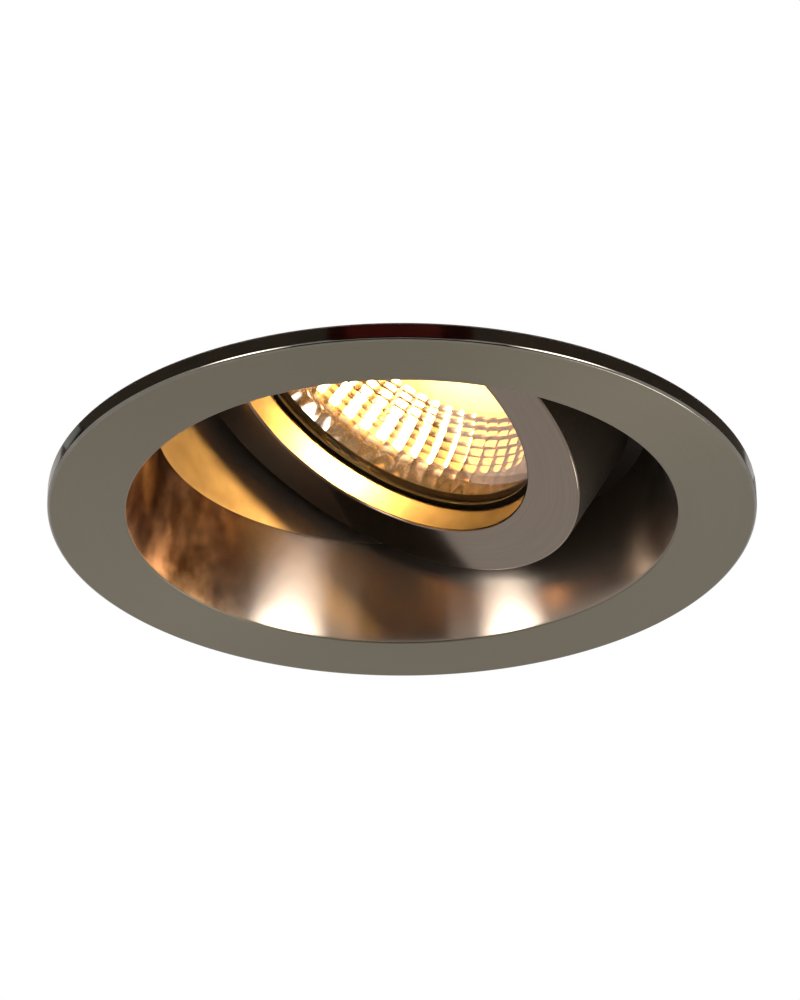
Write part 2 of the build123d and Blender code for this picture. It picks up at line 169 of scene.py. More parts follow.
# Measuring the solids
def profile_of(node, own_place=Matrix()):
    """(radius, height) of every corner of a solid, about the axis of its own place."""
    own = own_place.inverted()
    corners = [own @ vertex.co for vertex in frame["nodes"][node].data.vertices]
    return [(hypot(corner.x, corner.y), corner.z) for corner in corners]


def radii_at(profile, height):
    """Least and greatest radius of a profile at one height."""
    found = [radius for radius, z in profile if abs(z - height) < touch]
    return min(found), max(found)


def heights_at(profile, radius):
    """Lowest and highest corner of a profile at one radius."""
    found = [z for r, z in profile if abs(r - radius) < touch]
    return min(found), max(found)


def rivet_heights():
    """Heights of the two rivets on each side."""
    low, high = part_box("bracket_rivets")
    return low.z + rivet_head_radius, high.z - rivet_head_radius


# Modelling
def select_only(piece):
    """Leaves edit mode and selects one piece."""
    bpy.ops.object.mode_set(mode="OBJECT")
    bpy.ops.object.select_all(action="DESELECT")
    piece.select_set(True)
    bpy.context.view_layer.objects.active = piece


def place(piece, matrix):
    """Moves a piece's mesh by a matrix and leaves its object at the origin."""
    select_only(piece)
    piece.matrix_world = matrix @ piece.matrix_world
    bpy.ops.object.transform_apply(location=True, rotation=True, scale=True)


def settle(name):
    """Names the primitive that was just added and takes its place into its mesh."""
    piece = bpy.context.active_object
    piece.name = name
    piece.data.name = name
    place(piece, Matrix())
    return piece


def close():
    """Merges doubles, turns all faces outwards and leaves edit mode."""
    bpy.ops.mesh.select_all(action="SELECT")
    bpy.ops.mesh.remove_doubles(threshold=touch)
    bpy.ops.mesh.normals_make_consistent(inside=False)
    bpy.ops.object.mode_set(mode="OBJECT")


def turned(name, corners, steps=turn_steps):
    """Ring turned about Z through a closed run of (radius, height) corners."""
    radius, height = corners[0]
    bpy.ops.object.select_all(action="DESELECT")
    bpy.ops.mesh.primitive_circle_add(vertices=steps, radius=radius, location=(0, 0, height))
    piece = settle(name)
    bpy.ops.object.mode_set(mode="EDIT")
    for next_radius, next_height in corners[1:]:
        grow = next_radius / radius
        rise = (0, 0, next_height - height)
        bpy.ops.mesh.extrude_edges_move(TRANSFORM_OT_translate={"value": rise})
        bpy.ops.transform.resize(value=(grow, grow, 1), center_override=(0, 0, 0))
        radius, height = next_radius, next_height
    bpy.ops.mesh.select_mode(type="EDGE")
    bpy.ops.mesh.select_non_manifold(extend=False)
    bpy.ops.mesh.bridge_edge_loops()
    close()
    return piece


def pick(piece, wanted, open_only=False):
    """Opens a piece with those edges selected whose two ends pass a test on their place."""
    mesh = piece.data
    faces_at = Counter(key for face in mesh.polygons for key in face.edge_keys)
    chosen = [wanted(vertex.co) for vertex in mesh.vertices]
    for part in (mesh.vertices, mesh.edges, mesh.polygons):
        part.foreach_set("select", [False] * len(part))
    for edge in mesh.edges:
        if open_only and faces_at[edge.key] != 1:
            continue
        if all(chosen[end] for end in edge.vertices):
            edge.select = True
            for end in edge.vertices:
                mesh.vertices[end].select = True
    bpy.context.view_layer.objects.active = piece
    bpy.ops.object.mode_set(mode="EDIT")
    bpy.ops.mesh.select_mode(type="EDGE")


def round_rim(piece, radius, height, width):
    """Rounds the circular edge of one radius at one height."""
    pick(piece, lambda co: abs(hypot(co.x, co.y) - radius) < touch and abs(co.z - height) < touch)
    bpy.ops.mesh.bevel(offset=width, segments=rim_steps, profile=0.5, affect="EDGES")
    bpy.ops.object.mode_set(mode="OBJECT")


def use_modifier(piece, kind, **settings):
    """Adds a modifier with its settings and applies it."""
    bpy.context.view_layer.objects.active = piece
    modifier = piece.modifiers.new(kind.title(), kind)
    for name, value in settings.items():
        setattr(modifier, name, value)
    bpy.ops.object.modifier_apply(modifier=modifier.name)


def combine(piece, tools, operation):
    """Cuts the tools out of a piece or joins them to it, and removes them."""
    for tool in tools:
        use_modifier(piece, "BOOLEAN", operation=operation, solver="EXACT", object=tool)
        bpy.data.objects.remove(tool)


def bar(radius, one_end, other_end):
    """Round bar between two points, to cut with or to join on."""
    way = other_end - one_end
    bpy.ops.object.select_all(action="DESELECT")
    bpy.ops.mesh.primitive_cylinder_add(vertices=bar_sides, radius=radius, depth=way.length)
    tool = bpy.context.active_object
    turn = way.to_track_quat("Z", "Y").to_matrix().to_4x4()
    place(tool, Matrix.Translation((one_end + other_end) / 2) @ turn)
    return tool


def block(low, high):
    """Box between two opposite corners, to cut with."""
    low, high = Vector(low), Vector(high)
    bpy.ops.object.select_all(action="DESELECT")
    bpy.ops.mesh.primitive_cube_add(size=1, location=(low + high) / 2)
    tool = bpy.context.active_object
    tool.scale = high - low
    place(tool, Matrix())
    return tool


def smooth(piece, angle):
    """Shades a finished mesh smoothly up to an angle."""
    select_only(piece)
    bpy.ops.object.shade_smooth_by_angle(angle=radians(angle))


def paint(piece, finishes, choose):
    """Gives a piece several finishes, with one chosen for each face from its middle and its normal."""
    for finish in finishes:
        piece.data.materials.append(finish)
    for face in piece.data.polygons:
        face.material_index = finishes.index(choose(face.center, face.normal))


# Materials
def linear(code):
    """Linear colour of an sRGB hex code such as #808080."""
    channels = [int(code[i:i + 2], 16) / 255 for i in (1, 3, 5)]
    return [c / 12.92 if c <= 0.04045 else ((c + 0.055) / 1.055) ** 2.4 for c in channels] + [1]


def add(tree, kind, settings, sockets):
    """Adds a node, with its properties and with its sockets set or linked."""
    made = tree.nodes.new(kind)
    for name, value in settings.items():
        setattr(made, name, value)
    for name, value in sockets.items():
        if isinstance(value, bpy.types.NodeSocket):
            tree.links.new(value, made.inputs[name])
        else:
            made.inputs[name].default_value = value
    return made


def new_finish(name, **sockets):
    """Material with a principled shader, and its Object coordinates."""
    finish = bpy.data.materials.new(name)
    finish.use_nodes = True
    tree = finish.node_tree
    shader = tree.nodes["Principled BSDF"]
    for socket, value in sockets.items():
        shader.inputs[socket.replace("_", " ")].default_value = value
    where = add(tree, "ShaderNodeTexCoord", {}, {}).outputs["Object"]
    return finish, tree, shader, where


def grain(tree, where, size, stretch=(1, 1, 1), detail=3.0):
    """Noise of a grain size, drawn out by a stretch along each axis."""
    scale = [1 / (size * long) for long in stretch]
    mapped = add(tree, "ShaderNodeMapping", {}, {"Vector": where, "Scale": scale}).outputs[0]
    noise = add(tree, "ShaderNodeTexNoise", {}, {"Vector": mapped, "Scale": 1.0, "Detail": detail})
    return noise.outputs["Fac"]


def turned_grain(tree, where, pitch, long):
    """Fine rings about Z, as a lathe or a turning brush leaves them, each broken along its length."""
    x, y, z = add(tree, "ShaderNodeSeparateXYZ", {}, {0: where}).outputs
    flat = add(tree, "ShaderNodeCombineXYZ", {}, {0: x, 1: y}).outputs[0]
    radius = add(tree, "ShaderNodeVectorMath", {"operation": "LENGTH"}, {0: flat}).outputs["Value"]
    angle = add(tree, "ShaderNodeMath", {"operation": "ARCTAN2"}, {0: y, 1: x}).outputs[0]
    polar = add(tree, "ShaderNodeCombineXYZ", {}, {0: radius, 1: angle, 2: z}).outputs[0]
    scale = (1 / pitch, 1 / long, 1 / pitch)
    mapped = add(tree, "ShaderNodeMapping", {}, {"Vector": polar, "Scale": scale}).outputs[0]
    noise = add(tree, "ShaderNodeTexNoise", {}, {"Vector": mapped, "Scale": 1.0, "Detail": 2.0})
    return noise.outputs["Fac"]


def head_coordinates(tree, where):
    """Object coordinates turned back into the tilting head's own frame."""
    own = head_place.inverted()
    mapped = add(tree, "ShaderNodeMapping", {}, {
        "Vector": where,
        "Location": own.translation,
        "Rotation": own.to_euler(),
    })
    return mapped.outputs[0]


def vary(tree, shader, source, socket, low, high):
    """Lets a pattern move one of the shader's numbers between two values."""
    ranged = add(tree, "ShaderNodeMapRange", {}, {
        "Value": source,
        "From Min": noise_bounds[0],
        "From Max": noise_bounds[1],
        "To Min": low,
        "To Max": high,
    })
    tree.links.new(ranged.outputs[0], shader.inputs[socket])


def tint(tree, shader, source, low, high, bounds=noise_bounds):
    """Lets a pattern move the shader's colour between two colours."""
    ranged = add(tree, "ShaderNodeMapRange", {}, {
        "Value": source,
        "From Min": bounds[0],
        "From Max": bounds[1],
    })
    mix = add(tree, "ShaderNodeMix", {"data_type": "RGBA"}, {
        mix_share: ranged.outputs[0],
        mix_low: linear(low),
        mix_high: linear(high),
    })
    tree.links.new(mix.outputs[mix_colour], shader.inputs["Base Color"])


def relief(tree, shader, source, height):
    """Raises the surface by a pattern."""
    raised = add(tree, "ShaderNodeBump", {}, {"Height": source, "Distance": height, "Strength": 1.0})
    tree.links.new(raised.outputs[0], shader.inputs["Normal"])


def radial_tangent(tree, shader):
    """Turns the shader's stretched highlights across rings about Z."""
    along = add(tree, "ShaderNodeTangent", {"direction_type": "RADIAL", "axis": "Z"}, {})
    tree.links.new(along.outputs[0], shader.inputs["Tangent"])


def gunmetal_face():
    # Gunmetal plating over a turned and brushed face: grey with a warm cast, matt along its rings, which
    # are drawn coarse enough to show
    finish, tree, shader, where = new_finish(
        "gunmetal_turned_satin", Metallic=1.0, Anisotropic=0.6, Anisotropic_Rotation=0.25
    )
    rings = turned_grain(tree, where, 0.12 * mm, 0.5)
    tint(tree, shader, rings, "#615A4B", "#665F50")
    vary(tree, shader, rings, "Roughness", 0.30, 0.38)
    relief(tree, shader, rings, 0.0012 * mm)
    radial_tangent(tree, shader)
    return finish


def gunmetal_cone():
    # Gunmetal plating over a polished cone: long soft highlights up the wall. On the side that the lamp
    # shines on, its warm glow is painted into the colour, in mottled brown clouds
    finish, tree, shader, where = new_finish(
        "gunmetal_polished", Metallic=1.0, Anisotropic=0.8, Anisotropic_Rotation=0.25
    )
    cloud = grain(tree, where, 3.6 * mm, detail=4.0)
    # Painted lamp glow, in mottled brown clouds
    mottle = add(tree, "ShaderNodeMapRange", {}, {
        "Value": cloud,
        "From Min": lamp_glow_bounds[0],
        "From Max": lamp_glow_bounds[1],
    })
    lamp_glow = add(tree, "ShaderNodeMix", {"data_type": "RGBA"}, {
        mix_share: mottle.outputs[0],
        mix_low: linear("#86582F"),
        mix_high: linear("#D09A68"),
    })
    # Where the painted lamp glow shows: full on the side that the lamp shines on, none on the other
    across = add(tree, "ShaderNodeSeparateXYZ", {}, {0: where}).outputs["X"]
    glow_side = add(tree, "ShaderNodeMapRange", {}, {
        "Value": across,
        "From Min": lamp_glow_begins,
        "From Max": lamp_glow_full,
    })
    plating_and_glow = add(tree, "ShaderNodeMix", {"data_type": "RGBA"}, {
        mix_share: glow_side.outputs[0],
        mix_low: linear("#7D7165"),
        mix_high: lamp_glow.outputs[mix_colour],
    })
    tree.links.new(plating_and_glow.outputs[mix_colour], shader.inputs["Base Color"])
    vary(tree, shader, cloud, "Roughness", 0.21, 0.23)
    radial_tangent(tree, shader)
    return finish


def gunmetal_edge():
    # The same plating on the flange's bright-cut edge: nearly a mirror
    finish, tree, shader, where = new_finish("gunmetal_bright_cut", Metallic=1.0)
    marks = turned_grain(tree, where, 0.1 * mm, 0.4)
    tint(tree, shader, grain(tree, where, 4 * mm), "#6A655D", "#777167")
    vary(tree, shader, marks, "Roughness", 0.06, 0.16)
    return finish


def gunmetal_skirt():
    # Thin plating on the as-cast outside above the ceiling: dull and rough
    finish, tree, shader, where = new_finish("gunmetal_cast", Metallic=1.0)
    cloud = grain(tree, where, 0.6 * mm, detail=2.0)
    tint(tree, shader, cloud, "#5D5850", "#655F56")
    vary(tree, shader, cloud, "Roughness", 0.56, 0.64)
    relief(tree, shader, cloud, 0.006 * mm)
    return finish


def gunmetal_wall():
    # Plating on the tilting ring's turned walls: satin, drawn darker as painted shade
    finish, tree, shader, where = new_finish("gunmetal_wall", Metallic=1.0)
    cloud = grain(tree, where, 0.6 * mm, detail=2.0)
    tint(tree, shader, cloud, "#4C453C", "#534C42")
    vary(tree, shader, cloud, "Roughness", 0.36, 0.42)
    relief(tree, shader, cloud, 0.006 * mm)
    return finish


def gunmetal_bore():
    # Plating on the turned bore above the cone: satin, without the cast grain, drawn darker as painted
    # shade
    finish, tree, shader, where = new_finish("gunmetal_bore", Metallic=0.95)
    cloud = grain(tree, where, 2.0 * mm)
    tint(tree, shader, cloud, "#544C43", "#5B534A")
    vary(tree, shader, cloud, "Roughness", 0.47, 0.53)
    return finish


def gunmetal_ring():
    # Gunmetal plating on the tilting ring's finely turned face: a slightly blurred mirror
    finish, tree, shader, where = new_finish("gunmetal_ring_satin", Metallic=1.0)
    own = head_coordinates(tree, where)
    rings = turned_grain(tree, own, 0.12 * mm, 0.5)
    tint(tree, shader, rings, "#6D6055", "#736659")
    vary(tree, shader, rings, "Roughness", 0.13, 0.16)
    return finish


def gunmetal_lip():
    # Satin plating on the ring's inner lip, which carries the lamp's glow, drawn darker as painted shade
    finish, tree, shader, where = new_finish("gunmetal_lip", Metallic=1.0)
    cloud = grain(tree, where, 1.5 * mm)
    tint(tree, shader, cloud, "#4F483E", "#544D43")
    vary(tree, shader, cloud, "Roughness", 0.34, 0.38)
    return finish


def black_bezel():
    # Black moulded polycarbonate: dark, with a fine spark-eroded grain
    finish, tree, shader, where = new_finish("black_polycarbonate", Specular_IOR_Level=0.05)
    tooth = grain(tree, where, 0.18 * mm)
    tint(tree, shader, tooth, "#050404", "#090706")
    vary(tree, shader, tooth, "Roughness", 0.65, 0.75)
    relief(tree, shader, tooth, 0.006 * mm)
    return finish


def clear_lens():
    # Clear polycarbonate: nearly unseen, with a faint moulding ripple. A thin veil of mirror stands for the
    # shine of its two faces
    finish, tree, shader, where = new_finish(
        "clear_polycarbonate", Base_Color=linear("#F4F2EC"), Metallic=1.0, Alpha=0.12
    )
    vary(tree, shader, grain(tree, where, 3 * mm), "Roughness", 0.02, 0.06)
    return finish


def bright_reflector():
    # Vacuum-metallised aluminium over moulded facets: bright and warm, with a little haze
    finish, tree, shader, where = new_finish("metallised_aluminium", Metallic=1.0)
    haze = grain(tree, where, 1.1 * mm)
    tint(tree, shader, haze, "#E0D1C2", "#ECE0D4")
    vary(tree, shader, haze, "Roughness", 0.07, 0.1)
    return finish


def warm_phosphor():
    # Phosphor over the light-emitting chips: yellow, and far brighter than all around it
    finish, tree, shader, where = new_finish(
        "warm_phosphor", Roughness=0.5, Emission_Color=linear("#FFC76C"), Emission_Strength=1000.0
    )
    tint(tree, shader, grain(tree, where, 0.4 * mm), "#E9C46A", "#F4D68A")
    return finish


def grey_board():
    # Matt anodised aluminium board under the chips: pale grey
    finish, tree, shader, where = new_finish("anodised_board", Roughness=0.5)
    tint(tree, shader, grain(tree, where, 0.6 * mm), "#B2ABA4", "#BDB6AE")
    return finish


def green_board():
    # Green solder mask over glass weave, whose threads show through
    finish, tree, shader, where = new_finish("green_solder_mask", Roughness=0.35)
    weave = grain(tree, where, 0.4 * mm, stretch=(6, 1, 1))
    tint(tree, shader, weave, "#1F4D2E", "#2B6A3F")
    relief(tree, shader, weave, 0.01 * mm)
    return finish


def grey_housing():
    # Powder-coated die-cast aluminium: light grey with an even orange peel
    finish, tree, shader, where = new_finish("powder_coat_grey", IOR=1.5)
    peel = grain(tree, where, 0.55 * mm)
    tint(tree, shader, grain(tree, where, 7 * mm), "#B4B4B1", "#BEBEBA")
    vary(tree, shader, peel, "Roughness", 0.42, 0.56)
    relief(tree, shader, peel, 0.02 * mm)
    return finish


def white_cap():
    # White moulded polyester: warm white, softly shining
    finish, tree, shader, where = new_finish("white_polyester", IOR=1.55)
    tooth = grain(tree, where, 0.3 * mm)
    tint(tree, shader, grain(tree, where, 6 * mm), "#DEDCD5", "#E8E6E0")
    vary(tree, shader, tooth, "Roughness", 0.34, 0.46)
    relief(tree, shader, tooth, 0.008 * mm)
    return finish


def nickel_pin():
    # Nickel-plated brass: bright, with fine polishing marks
    finish, tree, shader, where = new_finish("nickel_plate", Metallic=1.0)
    marks = grain(tree, where, 0.25 * mm)
    tint(tree, shader, marks, "#BDB8AC", "#CBC7BC")
    vary(tree, shader, marks, "Roughness", 0.16, 0.28)
    return finish


def steatite():
    # Glazed steatite: ivory, with a thin gloss and a few darker specks
    finish, tree, shader, where = new_finish(
        "glazed_steatite", Roughness=0.3, IOR=1.55, Coat_Weight=0.4, Coat_Roughness=0.12
    )
    speck_spacing = 1.6 * mm
    specks = add(tree, "ShaderNodeTexVoronoi", {}, {"Vector": where, "Scale": 1 / speck_spacing})
    tint(tree, shader, specks.outputs["Distance"], "#B9AE98", "#E3DDCE", bounds=(0.04, 0.12))
    relief(tree, shader, grain(tree, where, 1.4 * mm), 0.03 * mm)
    return finish


def brass_contact():
    # Rolled brass strip: yellow, with long lines from the rolls
    finish, tree, shader, where = new_finish("rolled_brass", Metallic=1.0)
    rolled = grain(tree, where, 0.15 * mm, stretch=(1, 1, 20))
    tint(tree, shader, rolled, "#B08F4A", "#C3A35E")
    vary(tree, shader, rolled, "Roughness", 0.24, 0.38)
    return finish


def plated_screw():
    # Zinc-plated steel with a clear passivation: bright grey with a blue cast
    finish, tree, shader, where = new_finish("zinc_plated_steel", Metallic=1.0)
    marks = grain(tree, where, 0.3 * mm)
    tint(tree, shader, marks, "#A3A8AC", "#B6BABC")
    vary(tree, shader, marks, "Roughness", 0.22, 0.36)
    relief(tree, shader, marks, 0.004 * mm)
    return finish


def spring_wire():
    # Drawn spring steel: grey, with fine lines along the wire
    finish, tree, shader, where = new_finish("drawn_spring_steel", Metallic=1.0)
    drawn = grain(tree, where, 0.2 * mm, stretch=(3, 1, 3))
    tint(tree, shader, drawn, "#7F7D7A", "#98958F")
    vary(tree, shader, drawn, "Roughness", 0.24, 0.38)
    return finish


def galvanised_sheet():
    # Galvanised steel sheet: matt grey with a faint zinc spangle and rolling lines
    finish, tree, shader, where = new_finish("galvanised_sheet", Metallic=1.0)
    spangle_size = 2.6 * mm
    cells = add(tree, "ShaderNodeTexVoronoi", {}, {"Vector": where, "Scale": 1 / spangle_size})
    spangle = add(tree, "ShaderNodeSeparateColor", {}, {0: cells.outputs["Color"]})
    tint(tree, shader, spangle.outputs[0], "#A2A4A4", "#B3B5B4", bounds=(0, 1))
    rolled = grain(tree, where, 0.15 * mm, stretch=(1, 14, 1))
    vary(tree, shader, rolled, "Roughness", 0.3, 0.46)
    relief(tree, shader, rolled, 0.003 * mm)
    return finish


def black_sleeve():
    # Black soft polyvinyl: matt, with a fine dip-coated ripple
    finish, tree, shader, where = new_finish("black_vinyl", IOR=1.53)
    ripple = grain(tree, where, 0.7 * mm)
    tint(tree, shader, ripple, "#171717", "#232322")
    vary(tree, shader, ripple, "Roughness", 0.48, 0.64)
    relief(tree, shader, ripple, 0.03 * mm)
    return finish


def natural_nylon():
    # Natural nylon: milky, with light passing a little way in
    light_reach = (0.6 * mm, 0.6 * mm, 0.5 * mm)
    finish, tree, shader, where = new_finish(
        "natural_nylon", Roughness=0.42, IOR=1.53, Subsurface_Weight=0.2, Subsurface_Radius=light_reach
    )
    tint(tree, shader, grain(tree, where, 0.8 * mm), "#D9D5C6", "#E4E0D3")
    return finish


def aluminium_rivet():
    # Bare aluminium: pale, with small dents from setting
    finish, tree, shader, where = new_finish("bare_aluminium", Metallic=1.0)
    dents = grain(tree, where, 0.5 * mm)
    tint(tree, shader, dents, "#B9BABA", "#C9CACA")
    vary(tree, shader, dents, "Roughness", 0.28, 0.42)
    relief(tree, shader, dents, 0.01 * mm)
    return finish


# Pieces
def cone_inset(share):
    """How far the cone's wall stands inside a straight one, at a share of its height."""
    sag = 4 * cone_sag * share * (1 - share)
    flare = cone_flare * (1 - share) * (1 - exp(-share / flare_share))
    return sag + flare


def make_trim_ring(cast):
    """Flange, polished cone, bore and skirt, with the locating collar on its back."""
    trim = profile_of("trim_ring")
    face_z = min(z for r, z in trim)
    skirt_top = max(z for r, z in trim)
    flange_radius = max(r for r, z in trim)
    aperture_radius = radii_at(trim, face_z)[0]
    bore_radius = radii_at(trim, skirt_top)[0]
    cone_top = heights_at(trim, bore_radius)[0]
    skirt_radius = radii_at(trim, cone_top)[1]
    collar_radius = max(r for r, z in trim if touch < z < cone_top - touch)
    collar_top = heights_at(trim, collar_radius)[1]
    collar_inner = radii_at(trim, collar_top)[0]
    cone_back = min(r for r, z in trim if abs(z) < touch)
    cone_wall = []
    for step in range(cone_steps, 0, -1):
        share = step / cone_steps
        radius = aperture_radius + (bore_radius - aperture_radius) * share - cone_inset(share)
        cone_wall.append((radius, face_z + (cone_top - face_z) * share))
    trim_ring = turned("trim_ring_shell", [
        (aperture_radius, face_z),
        (flange_radius, face_z),
        (flange_radius, 0),
        (collar_radius, 0),
        (collar_radius, collar_top),
        (collar_inner, collar_top),
        (collar_inner, 0),
        (cone_back, 0),
        (skirt_radius, cone_top),
        (skirt_radius, skirt_top),
        (bore_radius, skirt_top),
    ] + cone_wall)
    for radius, height, width in (
        (flange_radius, face_z, flange_front_round),
        (flange_radius, 0, flange_back_round),
        (aperture_radius, face_z, mouth_round),
        (bore_radius, cone_top, cone_top_round),
        (collar_radius, collar_top, collar_round),
        (skirt_radius, skirt_top, skirt_outer_round),
        (bore_radius, skirt_top, skirt_inner_round),
    ):
        round_rim(trim_ring, radius, height, width)

    # Flats on the skirt for the brackets and the pivot screws, and their holes
    flat_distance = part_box("clip_bracket_right")[0].x
    flat_bottom = min(z for r, z in trim if cone_top + touch < z)
    wide = skirt_radius
    flats = []
    for turn in range(4):
        flat = block((flat_distance, -wide, flat_bottom), (flat_distance + wide, wide, skirt_top + wide))
        place(flat, Matrix.Rotation(turn * pi / 2, 4, "Z"))
        flats.append(flat)
    combine(trim_ring, flats, "DIFFERENCE")
    along_x = Vector((flange_radius, 0, 0))
    along_y = Vector((0, flange_radius, 0))
    holes = [bar(pivot_hole_radius, pivot - along_y, pivot + along_y)]
    for height in rivet_heights():
        middle = Vector((0, 0, height))
        holes.append(bar(rivet_hole_radius, middle - along_x, middle + along_x))
    combine(trim_ring, holes, "DIFFERENCE")
    smooth(trim_ring, turned_shading)
    use_modifier(trim_ring, "WEIGHTED_NORMAL", keep_sharp=True)

    face, cone, edge, bore = gunmetal_face(), gunmetal_cone(), gunmetal_edge(), gunmetal_bore()

    def choose(middle, normal):
        radius = hypot(middle.x, middle.y)
        if middle.z > cone_top + touch and radius < bore_radius + touch:
            return bore
        if middle.z > cone_top + touch or radius < flange_radius - touch and normal.z > 0:
            return cast
        if radius < aperture_radius + touch and middle.z > face_z + polish_start:
            return cone
        if radius < aperture_radius + rim_band:
            return face
        if radius < flange_radius - rim_band and normal.z < facing_down:
            return face
        return edge

    paint(trim_ring, [face, cone, edge, cast, bore], choose)
    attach(trim_ring, "trim")
    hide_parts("trim_ring")


def make_tilt_ring(cast):
    """Ring that holds the lamp: front plate with an inner lip, two walls, and a boss at each pivot."""
    ring = profile_of("tilt_ring", head_place)
    front = min(z for r, z in ring)
    back = max(z for r, z in ring)
    ring_radius = max(r for r, z in ring)
    opening_radius = min(r for r, z in ring)
    lip_back = heights_at(ring, opening_radius)[1]
    lamp_bore = radii_at(ring, back)[0]
    channel_floor = front + ring_plate
    tilt_ring = turned("tilt_ring_shell", [
        (opening_radius, front),
        (ring_radius, front),
        (ring_radius, back),
        (ring_radius - ring_wall, back),
        (ring_radius - ring_wall, channel_floor),
        (lamp_bore + ring_wall, channel_floor),
        (lamp_bore + ring_wall, back),
        (lamp_bore, back),
        (lamp_bore, lip_back),
        (opening_radius, lip_back),
    ])
    for radius, height, width in (
        (ring_radius, front, ring_front_round),
        (opening_radius, front, ring_opening_round),
        (ring_radius, back, ring_back_round),
        (lamp_bore, back, lamp_bore_round),
    ):
        round_rim(tilt_ring, radius, height, width)
    seat = ring_radius - boss_face_depth
    bosses, faces, holes = [], [], []
    for side in (-1, 1):
        outwards = Vector((0, side, 0))
        outside = outwards * (ring_radius + cutter_reach)
        inner = outwards * (lamp_bore + ring_wall / 2)
        outer = outwards * (ring_radius - ring_wall / 2)
        bosses.append(bar(boss_radius, inner, outer))
        faces.append(bar(boss_face_radius, outwards * seat, outside))
        holes.append(bar(pivot_hole_radius, outwards * (seat - boss_hole_depth), outside))
    combine(tilt_ring, bosses, "UNION")
    combine(tilt_ring, faces + holes, "DIFFERENCE")
    smooth(tilt_ring, turned_shading)
    use_modifier(tilt_ring, "WEIGHTED_NORMAL", keep_sharp=True)

    face, lip, wall = gunmetal_ring(), gunmetal_lip(), gunmetal_wall()

    def choose(middle, normal):
        radius = hypot(middle.x, middle.y)
        if radius < opening_radius + touch and middle.z < lip_back + touch:
            return lip
        if middle.z < front + ring_face_depth:
            return face
        if normal.z > facing_back:
            return cast
        return wall

    paint(tilt_ring, [face, lip, wall, cast], choose)
    place(tilt_ring, head_place)
    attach(tilt_ring, "head")
    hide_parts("tilt_ring")


def raise_cushions(reflector, cushions):
    """Lifts the corners of each facet off the bowl's wall, most in the middle of the facet."""
    column_angle = 2 * pi / facet_columns
    for vertex in reflector.data.vertices:
        x, y, z = vertex.co
        radius = hypot(x, y)
        apart, ring = min((abs(ring[0][0] - radius) + abs(ring[0][1] - z), ring) for ring in cushions)
        if apart < touch:
            _, lean, side_crown, crown = ring
            across = 2 * (atan2(y, x) / column_angle % 1) - 1
            lift = side_crown * (1 - across**2) + crown
            inward = Vector((-x / radius * cos(lean), -y / radius * cos(lean), -sin(lean)))
            vertex.co = vertex.co + inward * lift


def make_reflector():
    """Bowl of small cushion-shaped facets in stepped rows behind a smooth band, with its rim."""
    bowl = profile_of("lamp_reflector", head_place)
    front = min(z for r, z in bowl)
    back = max(z for r, z in bowl)
    throat = min(r for r, z in bowl)
    rim_radius = max(r for r, z in bowl)
    rim_back = heights_at(bowl, rim_radius)[1]
    mouth = radii_at(bowl, front)[0]
    band_radius = mouth - band_step
    reach = (back - front - band_depth) / sqrt(1 - (throat / band_radius) ** 2)
    inside = [(mouth, front)]
    outside = [(mouth + reflector_wall, rim_back), (rim_radius, rim_back), (rim_radius, front)]
    cushions = []
    depth = 0
    for height, arch, lean_angle in facet_rows:
        row_radius = band_radius * sqrt(1 - (depth / reach) ** 2)
        row_front = front + band_depth + depth
        lean = radians(lean_angle)
        side_crown = tan(radians(facet_side_arch)) * row_radius * pi / facet_columns / 2
        crown = tan(radians(arch)) * height / 4
        for step in range(facet_steps + 1):
            share = step / facet_steps
            corner = (row_radius - height * share * tan(lean), row_front + height * share)
            inside.append(corner)
            cushions.append((corner, lean, side_crown, crown * (1 - (2 * share - 1) ** 2)))
        outside.insert(0, (row_radius + reflector_wall, row_front))
        outside.insert(0, (row_radius + reflector_wall, row_front + height))
        depth += height
    reflector = turned("reflector_bowl", inside + outside, facet_columns * facet_steps)
    raise_cushions(reflector, cushions)
    smooth(reflector, facet_shading)
    reflector.data.materials.append(bright_reflector())
    place(reflector, head_place)
    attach(reflector, "head")
    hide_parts("lamp_reflector")


def make_clip_springs():
    """Torsion springs, each with a leg on its bracket and a leg along its arm."""
    low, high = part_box("clip_spring_right")
    half_coil = (high.y - low.y - clip_wire) / 2
    sweep = radians(90 - arm_droop + 360 * coil_turns)
    last = pi + sweep
    begin = Vector((-coil_radius, 0, half_coil))
    end = Vector((coil_radius * cos(last), coil_radius * sin(last), -half_coil))
    legs = (
        (begin, Vector((0, fixed_leg, 0))),
        (end, Vector((-sin(last), cos(last), 0)) * moving_leg),
    )
    finish = spring_wire()
    for side, half_turn in (("right", 0), ("left", pi)):
        body = "clip_" + side
        bpy.ops.object.select_all(action="DESELECT")
        bpy.ops.mesh.primitive_circle_add(
            vertices=wire_sides, radius=clip_wire / 2, location=begin, rotation=(pi / 2, 0, 0)
        )
        spring = settle(body + "_spring")
        use_modifier(
            spring, "SCREW", axis="Z", angle=sweep, screw_offset=-2 * half_coil, steps=wire_steps,
            render_steps=wire_steps,
        )
        for tip, leg in legs:
            pick(spring, lambda co: (co - tip).length < tip_reach, open_only=True)
            bpy.ops.mesh.extrude_edges_move(TRANSFORM_OT_translate={"value": leg})
            bpy.ops.mesh.edge_face_add()
            bpy.ops.object.mode_set(mode="OBJECT")
        bpy.ops.object.mode_set(mode="EDIT")
        close()
        smooth(spring, wire_shading)
        turn = Matrix.Rotation(half_turn, 4, "Z")
        place(spring, turn @ Matrix.Translation(clip_pin) @ Matrix.Rotation(pi / 2, 4, "X"))
        spring.data.materials.append(finish)
        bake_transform(spring)
        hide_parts("clip_spring_" + side)


